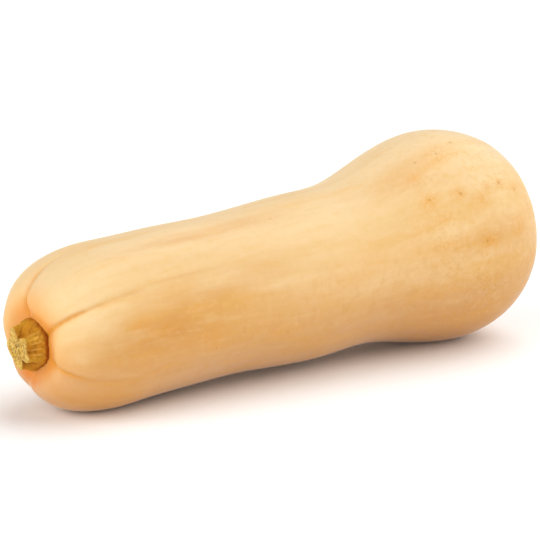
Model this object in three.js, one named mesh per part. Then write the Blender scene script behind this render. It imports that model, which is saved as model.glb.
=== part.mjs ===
/**
 * A whole butternut squash lying on its side, with a dry stub of its stem.
 *
 * Millimetres, +Z up. The stem end points to -X and the bulb, with the blossom scar, to +X.
 * The origin is under the middle of the whole part, at the level of the surface it lies on.
 *
 * Both pieces are drawn first along their own axis: x runs from the flat of the stem end
 * towards the bulb, and an angle round the axis starts at -Y and turns up through +Z.
 * lay() then sets them down on the neck and the bulb.
 */
import * as THREE from 'three';
import { NURBSCurve } from 'three/addons/curves/NURBSCurve.js';

// ---- Driving dimensions of the fruit ----

const FRUIT_LENGTH = 280;
// Radii of the outline's control points, evenly spaced from the stem end to the blossom end:
// the shoulder, the long neck with its slight waist, the swelling bulb and its blunt end.
const OUTLINE_RADII = [26, 38.3, 36.5, 36.8, 36.2, 38.2, 39.7, 38, 45.3, 52.4, 51.7, 35.1];
// The axis sags where the neck meets the bulb: how far, where along the fruit, how long a bend.
const SAG = { depth: 2.7, at: 158, spread: 57 };
// The neck is thinner than the bulb, so the stem end lies lower by this angle, in degrees.
const NOSE_DOWN = 4.31;
// How far the neck and the bulb are flattened where they rest.
const REST_FLAT_DEPTH = 1;

// ---- Stem end of the fruit ----

// The stem stands on a flat floor at x = floorAt, which rises to the shoulder at rimRadius.
const STEM_SEAT = { floorAt: 6.6, floorRadius: 10, rimRadius: 25 };
// The stem end grew a little askew: its middle is low and its upper side leans out.
const STEM_END = { lowerBy: 1.5, evenFromRadius: 36, lean: 0.03, straightFrom: 40 };

// ---- Five meridians that the stem and the rind share ----

// Each rib of the stem runs on as a furrow of the rind. A rib has its angles in degrees round
// the axis and its radii, at its foot and its tip. The flute lies between it and the next rib.
// The furrow starts at the foot of the rib, turns by drift over its driftRun and fades over reach.
const MERIDIANS = [
  {
    rib: { foot: -113, tip: -80, footRadius: 12.6, tipRadius: 8.9 },
    flute: { footRadius: 9.9, tipRadius: 5 },
    furrow: { drift: 0, driftRun: 60, depth: 1.7, reach: 24 },
  },
  {
    rib: { foot: -19, tip: -22, footRadius: 10.5, tipRadius: 9.4 },
    flute: { footRadius: 11.2, tipRadius: 7.4 },
    furrow: { drift: -10, driftRun: 60, depth: 1.6, reach: 50 },
  },
  {
    rib: { foot: 32, tip: 38, footRadius: 12.3, tipRadius: 9.8 },
    flute: { footRadius: 12.2, tipRadius: 5.2 },
    furrow: { drift: 1.5, driftRun: 90, depth: 1.7, reach: 60 },
  },
  {
    rib: { foot: 104, tip: 106, footRadius: 12, tipRadius: 9.9 },
    flute: { footRadius: 11, tipRadius: 6.6 },
    furrow: { drift: -12, driftRun: 45, depth: 1.8, reach: 60 },
  },
  {
    rib: { foot: 200, tip: 168, footRadius: 11.6, tipRadius: 8 },
    flute: { footRadius: 11, tipRadius: 6.6 },
    furrow: { drift: 0, driftRun: 60, depth: 1.7, reach: 60 },
  },
];
const FURROW_HALF_WIDTH = 2.2;
// Furrows start at the foot of the stem and reach their full depth a little further out.
const FURROW_START = { radius: 8, fullRadius: 18 };
// The flesh between two furrows stands up as a soft lobe round the stem.
const LOBE = { dip: 1.9, halfWidth: 8, reach: 38 };

// ---- Blossom end ----

const BLOSSOM_DIMPLE = { depth: 1.3, radius: 11 };
const BLOSSOM_SCAR = { height: 0.9, radius: 3.2 };

// ---- Stem stub ----

const STEM_GAP = 0.3;
const STEM_LENGTH = 8.5;
// The stem is straight near its foot and its tip, and narrows between these two heights.
const STEM_NARROWING = { from: 0.02, to: 0.9 };
// The cut end dishes in towards the pith.
const STEM_CUT_DISH = 0.8;

// ---- Fineness of the meshes ----

const FRUIT_COLUMNS_PER_LOBE = 15;
// Columns crowd towards the furrows: 0 spreads them evenly, 1 would let them meet there.
const FURROW_CROWDING = 0.55;
// Stretches of the outline, each with the longest step between its rings.
const FRUIT_RING_STRETCHES = [
  { share: 0.12, step: 2.6 },
  { share: 0.46, step: 9 },
  { share: 0.37, step: 6.5 },
  { share: 0.05, step: 2.4 },
];
const ARC_LENGTH_DIVISIONS = 2000;
const STEM_COLUMNS_PER_LOBE = 12;
const STEM_SIDE_RINGS = 11;
const STEM_CUT_RINGS = 4;

const { clamp, degToRad, euclideanModulo, lerp, smoothstep } = THREE.MathUtils;

/** A bell that is 1 at distance 0 and fades over halfWidth. */
const bell = (distance, halfWidth) => Math.exp(-((distance / halfWidth) ** 2));

/** The outline of the fruit as a clamped cubic curve of (x along the axis, radius). */
function makeOutline() {
  const degree = 3;
  const spacing = FRUIT_LENGTH / (OUTLINE_RADII.length - 1);
  const controls = [
    new THREE.Vector4(0, 0, 0, 1),
    ...OUTLINE_RADII.map((radius, index) => new THREE.Vector4(index * spacing, radius, 0, 1)),
    new THREE.Vector4(FRUIT_LENGTH, 0, 0, 1),
  ];
  const spans = controls.length - degree;
  const knots = [];
  for (let index = -degree; index <= spans + degree; index += 1) {
    knots.push(clamp(index / spans, 0, 1));
  }
  const outline = new NURBSCurve(degree, knots, controls);
  outline.arcLengthDivisions = ARC_LENGTH_DIVISIONS;
  return outline;
}

/** Height of the fruit's axis at x, below 0 where it sags. */
const axisHeight = (x) => -SAG.depth * bell(x - SAG.at, SAG.spread);

/** Point at x along the axis, at a radius and angle round it, with the stem end askew. */
function aroundAxis(x, radius, angle) {
  const { lowerBy, evenFromRadius, lean, straightFrom } = STEM_END;
  const isStemHalf = x < FRUIT_LENGTH / 2;
  const lowered = isStemHalf ? 1 - smoothstep(radius, STEM_SEAT.floorRadius, evenFromRadius) : 0;
  const leaning = 1 - smoothstep(x, 0, straightFrom);
  const up = radius * Math.sin(angle);
  return new THREE.Vector3(
    x - lean * up * leaning,
    -radius * Math.cos(angle),
    axisHeight(x) + up - lowerBy * lowered,
  );
}

/** Angle in degrees from one meridian to the next round the axis. */
const turnBetween = (angle, nextAngle) => euclideanModulo(nextAngle - angle, 360);

/** One value for every column, made from its lobe's two meridians and its share of the lobe. */
function mapColumns(perLobe, makeColumn) {
  return MERIDIANS.flatMap((meridian, index) => {
    const next = MERIDIANS[(index + 1) % MERIDIANS.length];
    return Array.from({ length: perLobe }, (_, column) =>
      makeColumn(meridian, next, column / perLobe),
    );
  });
}

/** Angle between two directions round the axis, from 0 to half a turn. */
function angleBetween(one, other) {
  const turn = euclideanModulo(one - other, 2 * Math.PI);
  return Math.min(turn, 2 * Math.PI - turn);
}

/** Depth of the furrows and of the dips beside them, at a distance run from the stem. */
function furrowDepth(radius, angle, run) {
  let depth = 0;
  for (const { rib, furrow } of MERIDIANS) {
    const drifted = smoothstep(run, 0, furrow.driftRun);
    const middle = degToRad(rib.foot + furrow.drift * drifted);
    const across = radius * angleBetween(angle, middle);
    depth += furrow.depth * bell(across, FURROW_HALF_WIDTH) * bell(run, furrow.reach);
    depth += LOBE.dip * bell(across, LOBE.halfWidth) * bell(run, LOBE.reach);
  }
  return depth * smoothstep(radius, FURROW_START.radius, FURROW_START.fullRadius);
}

/** How far the seat of the stem moves the stem end towards the bulb. */
function seatDepth(x, radius) {
  const inSeat = 1 - smoothstep(radius, STEM_SEAT.floorRadius, STEM_SEAT.rimRadius);
  return (STEM_SEAT.floorAt - x) * inSeat;
}

/** How far the blossom end stands in, or out where it is below 0, at a radius. */
function blossomDepth(radius) {
  const dimple = BLOSSOM_DIMPLE.depth * bell(radius, BLOSSOM_DIMPLE.radius);
  return dimple - BLOSSOM_SCAR.height * bell(radius, BLOSSOM_SCAR.radius);
}

/** Distances along the outline at which the fruit has a ring, without its two end points. */
function ringDistances(total) {
  const distances = [];
  let start = 0;
  for (const stretch of FRUIT_RING_STRETCHES) {
    const length = stretch.share * total;
    const steps = Math.ceil(length / stretch.step);
    for (let step = 1; step <= steps; step += 1) {
      distances.push(start + (length * step) / steps);
    }
    start += length;
  }
  return distances.slice(0, -1);
}

/** Closes rings of points, with one point at each end, into a solid that faces outwards. */
function solidOfRings(first, rings, last) {
  const columns = rings[0].length;
  const at = (ring, column) => 1 + ring * columns + (column % columns);
  const lastRing = rings.length - 1;
  const lastIndex = 1 + rings.length * columns;
  const faces = [];
  for (let column = 0; column < columns; column += 1) {
    faces.push(0, at(0, column), at(0, column + 1));
    for (let ring = 0; ring < lastRing; ring += 1) {
      faces.push(at(ring, column), at(ring + 1, column), at(ring, column + 1));
      faces.push(at(ring, column + 1), at(ring + 1, column), at(ring + 1, column + 1));
    }
    faces.push(at(lastRing, column), lastIndex, at(lastRing, column + 1));
  }
  const geometry = new THREE.BufferGeometry();
  geometry.setFromPoints([first, ...rings.flat(), last]);
  geometry.setIndex(faces);
  return geometry;
}

/** The fruit along its own axis, with the stem's seat, furrows, lobes and blossom end. */
function fruitGeometry() {
  const outline = makeOutline();
  const total = outline.getLength();
  const angles = mapColumns(FRUIT_COLUMNS_PER_LOBE, (meridian, next, share) => {
    const crowded = share - (FURROW_CROWDING * Math.sin(2 * Math.PI * share)) / (2 * Math.PI);
    return degToRad(meridian.rib.foot + turnBetween(meridian.rib.foot, next.rib.foot) * crowded);
  });
  const rings = ringDistances(total).map((distance) => {
    const { x, y: radius } = outline.getPointAt(distance / total);
    const tangent = outline.getTangentAt(distance / total);
    const inwards = x < FRUIT_LENGTH / 2 ? seatDepth(x, radius) : -blossomDepth(radius);
    return angles.map((angle) => {
      const furrow = furrowDepth(radius, angle, distance);
      return aroundAxis(x + inwards + furrow * tangent.y, radius - furrow * tangent.x, angle);
    });
  });
  const seatMiddle = aroundAxis(STEM_SEAT.floorAt, 0, 0);
  const blossomTip = aroundAxis(FRUIT_LENGTH - blossomDepth(0), 0, 0);
  return solidOfRings(seatMiddle, rings, blossomTip);
}

/** 1 on a rib, falling to 0 midway to the next one. */
const ridge = (share) => Math.cos(Math.PI * Math.min(share, 0.5)) ** 2;

/**
 * One ring of the stem at a height from 0 at its foot to 1 at its cut: nearly round at the foot,
 * then five ribs that stand out further as the flutes between them fall in.
 */
function stemRing(x, height, scale) {
  const narrowed = smoothstep(height, STEM_NARROWING.from, STEM_NARROWING.to);
  const radiusOf = (form) => lerp(form.footRadius, form.tipRadius, narrowed);
  const angleOf = (rib) => lerp(rib.foot, rib.tip, height);
  return mapColumns(STEM_COLUMNS_PER_LOBE, (meridian, next, share) => {
    const flute = radiusOf(meridian.flute);
    const fromThis = (radiusOf(meridian.rib) - flute) * ridge(share);
    const fromNext = (radiusOf(next.rib) - flute) * ridge(1 - share);
    const turn = turnBetween(angleOf(meridian.rib), angleOf(next.rib)) * share;
    const angle = degToRad(angleOf(meridian.rib) + turn);
    return aroundAxis(x, scale * (flute + fromThis + fromNext), angle);
  });
}

/** The stem stub along the fruit's axis: its cut end first, then its side, then its foot. */
function stemGeometry() {
  const foot = STEM_SEAT.floorAt - STEM_GAP;
  const cut = foot - STEM_LENGTH;
  const rings = [];
  for (let ring = 1; ring <= STEM_CUT_RINGS; ring += 1) {
    const share = ring / STEM_CUT_RINGS;
    rings.push(stemRing(cut + STEM_CUT_DISH * (1 - share ** 2), 1, share));
  }
  for (let ring = STEM_SIDE_RINGS - 1; ring >= 0; ring -= 1) {
    const height = ring / STEM_SIDE_RINGS;
    rings.push(stemRing(foot - STEM_LENGTH * height, height, 1));
  }
  return solidOfRings(aroundAxis(cut + STEM_CUT_DISH, 0, 0), rings, aroundAxis(foot, 0, 0));
}

/** Turns both geometries nose down, centres them over the origin and flattens what rests. */
function lay(fruit, stem) {
  const box = new THREE.Box3();
  for (const geometry of [fruit, stem]) {
    geometry.rotateY(degToRad(-NOSE_DOWN));
    geometry.computeBoundingBox();
    box.union(geometry.boundingBox);
  }
  const centre = box.getCenter(new THREE.Vector3());
  for (const geometry of [fruit, stem]) {
    geometry.translate(-centre.x, -centre.y, -box.min.z - REST_FLAT_DEPTH);
  }
  const positions = fruit.getAttribute('position');
  for (let index = 0; index < positions.count; index += 1) {
    positions.setZ(index, Math.max(positions.getZ(index), 0));
  }
}

/** A named mesh with its own plain material. */
function makePiece(name, geometry, color, roughness) {
  geometry.computeVertexNormals();
  const material = new THREE.MeshStandardMaterial({ color, roughness, metalness: 0 });
  const mesh = new THREE.Mesh(geometry, material);
  mesh.name = name;
  return mesh;
}

const fruitSolid = fruitGeometry();
const stemSolid = stemGeometry();
lay(fruitSolid, stemSolid);

const squash = new THREE.Group();
squash.add(makePiece('fruit', fruitSolid, 0xeeba79, 0.45));
squash.add(makePiece('stem', stemSolid, 0xb9812f, 0.85));

export default squash;
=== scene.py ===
"""Dresses a butternut squash: a waxy rind over the fruit and a corky stub of its stem.

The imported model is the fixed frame. Both pieces are drawn again here from the same sizes, with
finer meshes and the small forms that the solids leave out, and laid down in that frame.
Lengths are in metres, +Z is up, and the stem end points to -X.
"""

import logging
import math
from dataclasses import dataclass, field
from enum import Enum

import bpy
import numpy as np
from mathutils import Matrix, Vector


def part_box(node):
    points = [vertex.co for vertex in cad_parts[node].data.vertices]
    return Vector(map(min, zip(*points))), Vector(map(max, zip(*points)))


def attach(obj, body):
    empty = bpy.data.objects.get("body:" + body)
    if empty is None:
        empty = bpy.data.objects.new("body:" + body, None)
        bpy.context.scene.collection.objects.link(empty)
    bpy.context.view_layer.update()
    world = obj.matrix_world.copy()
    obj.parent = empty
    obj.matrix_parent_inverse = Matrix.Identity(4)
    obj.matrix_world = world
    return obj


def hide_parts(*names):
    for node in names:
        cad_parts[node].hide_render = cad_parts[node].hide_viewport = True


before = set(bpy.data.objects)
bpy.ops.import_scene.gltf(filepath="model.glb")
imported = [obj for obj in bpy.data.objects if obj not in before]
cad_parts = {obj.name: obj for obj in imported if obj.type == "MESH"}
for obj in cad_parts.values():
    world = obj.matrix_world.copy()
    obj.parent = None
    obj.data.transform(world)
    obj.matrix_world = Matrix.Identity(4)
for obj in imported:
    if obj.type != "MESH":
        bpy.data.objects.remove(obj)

Array = np.ndarray
Socket = bpy.types.NodeSocket
Colour = tuple[float, float, float]
Place = tuple[float, float, float]
Span = tuple[float, ...]
Relief = tuple[float, float]

MM = 0.001
log = logging.getLogger("squash")


# ---- Small formulas ----


def smoothstep(value: Array, low: float, high: float) -> Array:
    """Eases from 0 at low to 1 at high.

    Args:
        value: Where to read the ease.
        low: Value that gives 0.
        high: Value that gives 1.

    Returns:
        The eased share, between 0 and 1.
    """
    share = np.clip((value - low) / (high - low), 0.0, 1.0)
    return share * share * (3.0 - 2.0 * share)


def bell(distance: Array, half_width: float) -> Array:
    """A bell that is 1 at distance 0 and fades over half_width."""
    return np.exp(-((distance / half_width) ** 2))


def lerp(start: Array, end: Array, share: Array) -> Array:
    """The value that lies at a share of the way from start to end."""
    return start + (end - start) * share


def turn_between(one: Array, other: Array) -> Array:
    """Signed angle from other to one round the axis, within half a turn either way."""
    return (one - other + math.pi) % (2.0 * math.pi) - math.pi


def put_in_scene(name: str, data: bpy.types.ID) -> bpy.types.Object:
    """Makes an object of a mesh, lamp or camera and links it into the scene.

    Args:
        name: Name of the object.
        data: What it shows.

    Returns:
        The object.
    """
    thing = bpy.data.objects.new(name, data)
    bpy.context.scene.collection.objects.link(thing)
    return thing


@dataclass(frozen=True)
class Ripple:
    """A seeded sum of waves round the axis and along it, which closes round the axis.

    Attributes:
        seed: Seed of its random draw.
        waves: How many waves are added.
        turns: Fewest and most periods round the axis.
        lengths: Shortest and longest wave along the axis.
    """

    seed: int
    waves: int
    turns: tuple[int, int]
    lengths: tuple[float, float]

    def heights(self, run: Array, angle: Array) -> Array:
        """Adds up the waves.

        Args:
            run: Distances along the piece.
            angle: Angles round the axis, of the same shape.

        Returns:
            Heights that mostly lie between -1 and 1.
        """
        draw = np.random.default_rng(self.seed)
        total = np.zeros(np.broadcast(run, angle).shape)
        for _ in range(self.waves):
            periods = draw.integers(self.turns[0], self.turns[1] + 1)
            length = draw.uniform(*self.lengths)
            shift_round, shift_along = draw.uniform(0.0, 2.0 * math.pi, 2)
            total += np.cos(periods * angle + shift_round) * np.cos(
                2.0 * math.pi * run / length + shift_along
            )
        return total / math.sqrt(self.waves)


@dataclass(frozen=True)
class Sided:
    """A value that differs on one side of a round piece.

    Attributes:
        elsewhere: The value away from that side.
        more: What is added in the middle of that side.
        middle: Angle of its middle, in degrees.
        spread: Angle over which it fades, in degrees.
    """

    elsewhere: float
    more: float
    middle: float
    spread: float

    def at(self, angle: Array) -> Array:
        """The value at angles round the axis."""
        turned = turn_between(angle, math.radians(self.middle))
        return self.elsewhere + self.more * bell(turned, math.radians(self.spread))


# ---- The shape that both pieces share ----


@dataclass(frozen=True)
class Meridian:
    """A rib of the stem that runs on as a furrow of the rind.

    Attributes:
        foot: Angle in degrees at the foot of the rib, where the furrow starts.
        tip: Angle in degrees at the tip of the rib.
        drift: Degrees by which the furrow turns on its way.
        drift_run: Distance over which it turns.
        depth: Depth of the furrow at the stem.
        reach: Distance over which the furrow fades.
        rib_foot: Radius of the rib at its foot.
        rib_tip: Radius of the rib at its tip.
        flute_foot: Radius at the foot of the flute between this rib and the next.
        flute_tip: Radius at the tip of that flute.
        line: Distance over which the furrow shows as an ochre line.
    """

    foot: float
    tip: float
    drift: float
    drift_run: float
    depth: float
    reach: float
    rib_foot: float
    rib_tip: float
    flute_foot: float
    flute_tip: float
    line: float


# The three angles of each in degrees, then its lengths in millimetres.
MERIDIANS = tuple(
    Meridian(*degrees, *(length * MM for length in lengths))
    for degrees, lengths in (
        ((-113, -80, 0), (60, 1.7, 24, 12.6, 8.9, 9.9, 5, 20)),
        ((-19, -22, -10), (60, 1.6, 50, 10.5, 9.4, 11.2, 7.4, 46)),
        ((32, 38, 1.5), (90, 1.7, 50, 12.3, 9.8, 12.2, 5.2, 66)),
        ((104, 106, -12), (45, 1.8, 40, 12, 9.9, 11, 6.6, 50)),
        ((200, 168, 0), (60, 1.7, 60, 11.6, 8, 11, 6.6, 40)),
    )
)


@dataclass
class SquashForm:
    """Sizes of the squash along its own axis, and how it is laid down in the frame.

    x runs from the flat of the stem end towards the bulb. An angle round the axis starts at -Y
    and turns up through +Z.
    """

    length: float = 280 * MM
    outline_radii: tuple[float, ...] = tuple(
        radius * MM for radius in (26, 38.3, 36.5, 36.8, 36.2, 38.2, 39.7, 38, 45.3, 52.4, 51.7, 35.1)
    )
    outline_degree: int = 3
    outline_samples: int = 6001
    sag_depth: float = 2.7 * MM
    sag_at: float = 158 * MM
    sag_spread: float = 57 * MM
    nose_down: float = math.radians(4.31)
    seat_floor_at: float = 6.6 * MM
    seat_floor_radius: float = 10 * MM
    seat_rim_radius: float = 25 * MM
    end_lowered_by: float = 1.5 * MM
    end_even_from_radius: float = 36 * MM
    end_lean: float = 0.03
    end_straight_from: float = 40 * MM
    shift: Array = field(default_factory=lambda: np.zeros(3))

    def __post_init__(self) -> None:
        """Samples the outline once, evenly in the curve's own parameter."""
        self._points = self._outline_points()
        steps = np.hypot(*np.diff(self._points, axis=0).T)
        self._runs = np.concatenate([[0.0], np.cumsum(steps)])

    def _outline_points(self) -> Array:
        """Points of the outline, a clamped curve.

        Returns:
            One row of (x, radius) for each sample.
        """
        degree = self.outline_degree
        along = np.linspace(0.0, self.length, len(self.outline_radii))
        controls = np.array([(0.0, 0.0), *zip(along, self.outline_radii), (self.length, 0.0)])
        spans = len(controls) - degree
        knots = np.clip(np.arange(-degree, spans + degree + 1) / spans, 0.0, 1.0)
        at = np.linspace(0.0, 1.0, self.outline_samples)
        span = np.clip(np.searchsorted(knots, at, side="right") - 1, degree, len(controls) - 1)
        points = [controls[span - degree + step] for step in range(degree + 1)]
        for level in range(1, degree + 1):
            for step in range(degree, level - 1, -1):
                low = knots[span - degree + step]
                high = knots[span + 1 + step - level]
                share = ((at - low) / (high - low))[:, None]
                points[step] = lerp(points[step - 1], points[step], share)
        return points[degree]

    @property
    def total_run(self) -> float:
        """Length of the outline from the stem end to the blossom end."""
        return float(self._runs[-1])

    def outline_at(self, run: Array) -> tuple[Array, Array, Array, Array]:
        """Reads the outline at distances along it.

        Args:
            run: Distances from the stem end.

        Returns:
            x, the radius, and the two parts of the outline's direction.
        """
        x, radius = (np.interp(run, self._runs, column) for column in self._points.T)
        slopes = np.gradient(self._points, self._runs, axis=0)
        along, outward = (np.interp(run, self._runs, column) for column in slopes.T)
        size = np.hypot(along, outward)
        return x, radius, along / size, outward / size

    def around_axis(self, x: Array, radius: Array, angle: Array) -> Array:
        """Places points round the axis, with the stem end a little askew.

        Args:
            x: Distances along the axis.
            radius: Distances from the axis.
            angle: Angles round the axis, in radians.

        Returns:
            One row of (x, y, z) for each point, before the squash is laid down.
        """
        x, radius, angle = np.broadcast_arrays(x, radius, angle)
        up = radius * np.sin(angle)
        in_middle = 1.0 - smoothstep(radius, self.seat_floor_radius, self.end_even_from_radius)
        lowered = self.end_lowered_by * in_middle * (x < self.length / 2.0)
        leaning = self.end_lean * up * (1.0 - smoothstep(x, 0.0, self.end_straight_from))
        height = up - lowered - self.sag_depth * bell(x - self.sag_at, self.sag_spread)
        return np.stack([x - leaning, -radius * np.cos(angle), height], axis=-1)

    def _turned(self, points: Array) -> Array:
        """Turns points nose down.

        Args:
            points: Rows of (x, y, z) along the squash's own axis.

        Returns:
            The turned points, before they are moved.
        """
        cos, sin = math.cos(self.nose_down), math.sin(self.nose_down)
        x, y, z = points[..., 0], points[..., 1], points[..., 2]
        return np.stack([cos * x - sin * z, y, sin * x + cos * z], axis=-1)

    def lay(self, points: Array) -> Array:
        """Turns points nose down and moves them to their place in the frame.

        Args:
            points: Rows of (x, y, z) along the squash's own axis.

        Returns:
            The same points in the frame, none below the surface that it lies on.
        """
        laid = self._turned(points) + self.shift
        laid[..., 2] = np.maximum(laid[..., 2], 0.0)
        return laid

    def fit_to(self, low: Array, high: Array, points: Array) -> None:
        """Sets the shift that lays the fruit where its solid lies.

        Args:
            low: Lowest corner of the solid's box.
            high: Highest corner of the solid's box.
            points: Points of the fruit along its own axis.
        """
        x, y, z = np.moveaxis(self._turned(points), -1, 0)
        middle = (low[1] + high[1]) / 2.0 - (y.min() + y.max()) / 2.0
        self.shift = np.array([high[0] - x.max(), middle, high[2] - z.max()])


@dataclass(frozen=True)
class StubForm:
    """The ribs and flutes of the stem, as radii round its axis.

    Attributes:
        narrowing: Heights from the foot, as shares, between which the stem narrows.
        columns_per_lobe: How finely the space between two ribs is divided.
    """

    narrowing: tuple[float, float] = (0.02, 0.9)
    columns_per_lobe: int = 52

    def ring(self, height: Array) -> tuple[Array, Array, Array]:
        """Radius, angle and share of a rib for every column at some heights.

        Args:
            height: Heights from 0 at the foot to 1 at the cut, as a column.

        Returns:
            Radii, angles in radians, and how much of a rib each point is.
        """
        lobe = np.repeat(np.arange(len(MERIDIANS)), self.columns_per_lobe)
        share = np.tile(np.arange(self.columns_per_lobe) / self.columns_per_lobe, len(MERIDIANS))
        following = (lobe + 1) % len(MERIDIANS)
        narrowed = smoothstep(height, *self.narrowing)

        def between(foot: str, tip: str, of: Array, at: Array) -> Array:
            """A size of these lobes, at a share of the way from foot to tip."""
            values = np.array([(getattr(m, foot), getattr(m, tip)) for m in MERIDIANS])
            return lerp(values[of, 0], values[of, 1], at)

        radius_here = between("rib_foot", "rib_tip", lobe, narrowed)
        radius_next = between("rib_foot", "rib_tip", following, narrowed)
        flute = between("flute_foot", "flute_tip", lobe, narrowed)
        ridge_here = np.cos(math.pi * np.minimum(share, 0.5)) ** 2
        ridge_next = np.cos(math.pi * np.minimum(1.0 - share, 0.5)) ** 2
        radius = flute + (radius_here - flute) * ridge_here + (radius_next - flute) * ridge_next
        angle_here = between("foot", "tip", lobe, height)
        angle_next = between("foot", "tip", following, height)
        angle = np.radians(angle_here + ((angle_next - angle_here) % 360.0) * share)
        return radius, angle, np.maximum(ridge_here, ridge_next) + 0.0 * height

    def foot_radius(self, angle: Array) -> Array:
        """Radius of the stem's foot at angles round the axis."""
        radius, at, _ = self.ring(np.zeros((1, 1)))
        return np.interp(angle, at[0], radius[0], period=2.0 * math.pi)


# ---- Meshes of rings ----


@dataclass
class RingMesh:
    """A closed skin of rings of points, with one point at each end.

    Attributes:
        name: Name of the piece.
        first: The point inside the first ring.
        rings: Points by ring and column.
        last: The point inside the last ring.
        traits: Named numbers for each point, as (first, rings, last).
    """

    name: str
    first: Array
    rings: Array
    last: Array
    traits: dict[str, tuple[Array, Array, Array]] = field(default_factory=dict)

    def add_trait(self, name: str, first: Array, rings: Array, last: Array) -> None:
        """Keeps a number, or a row of three, for every point under one name."""
        self.traits[name] = (first, rings, last)

    def _faces(self) -> list[tuple[int, ...]]:
        """Corner numbers of every face, facing outwards.

        Returns:
            Quads between the rings and triangles at both ends.
        """
        count, columns = self.rings.shape[:2]
        numbers = 1 + np.arange(count * columns).reshape(count, columns)
        ahead = np.roll(numbers, -1, axis=1)
        quads = np.stack([numbers[:-1], numbers[1:], ahead[1:], ahead[:-1]], axis=-1)
        last = 1 + count * columns
        faces = [tuple(quad) for quad in quads.reshape(-1, 4).tolist()]
        faces += [(0, one, two) for one, two in zip(numbers[0].tolist(), ahead[0].tolist())]
        faces += [(one, last, two) for one, two in zip(numbers[-1].tolist(), ahead[-1].tolist())]
        return faces

    def _in_order(self, parts: tuple[Array, Array, Array], width: int) -> Array:
        """Rows of some width for the first point, the rings and the last point."""
        return np.concatenate([np.reshape(part, (-1, width)) for part in parts])

    def build(self) -> bpy.types.Object:
        """Makes the smooth-shaded object, with its traits as attributes.

        Returns:
            The object.
        """
        points = self._in_order((self.first, self.rings, self.last), 3)
        mesh = bpy.data.meshes.new(self.name)
        mesh.from_pydata(points.tolist(), [], self._faces())
        mesh.polygons.foreach_set("use_smooth", np.ones(len(mesh.polygons), dtype=bool))
        for name, parts in self.traits.items():
            is_row = bool(np.ndim(parts[0]))
            values = self._in_order(parts, 3 if is_row else 1).ravel().astype(np.float32)
            layer = mesh.attributes.new(name, "FLOAT_VECTOR" if is_row else "FLOAT", "POINT")
            layer.data.foreach_set("vector" if is_row else "value", values)
        mesh.update()
        return put_in_scene(self.name, mesh)


# ---- Nodes ----


class Ease(Enum):
    """How a value goes from one end of a span to the other."""

    SMOOTH = "SMOOTHSTEP"
    STRAIGHT = "LINEAR"


class Sum(Enum):
    """What is worked out from two numbers."""

    PRODUCT = "MULTIPLY"
    TOTAL = "ADD"


@dataclass(frozen=True)
class Cloud:
    """A soft random cloud, as shares around a half.

    Attributes:
        scale: How many cells go into one unit.
        detail: How many finer layers it has.
        rough: How strong the finer layers are.
        warp: How far it is distorted.
        along: How many times shorter its cells are in the first direction.
    """

    scale: float
    detail: float = 3.0
    rough: float = 0.55
    warp: float = 0.0
    along: float = 1.0


def paint(red: int, green: int, blue: int) -> Colour:
    """A colour from the usual 0 to 255 scale, as the linear light that nodes take.

    Args:
        red: Red, 0 to 255.
        green: Green, 0 to 255.
        blue: Blue, 0 to 255.

    Returns:
        The linear colour.
    """

    def linear(value: float) -> float:
        """One channel as linear light, by the standard curve for screens."""
        share = value / 255.0
        return share / 12.92 if share <= 0.04045 else ((share + 0.055) / 1.055) ** 2.4

    return linear(red), linear(green), linear(blue)


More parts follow.
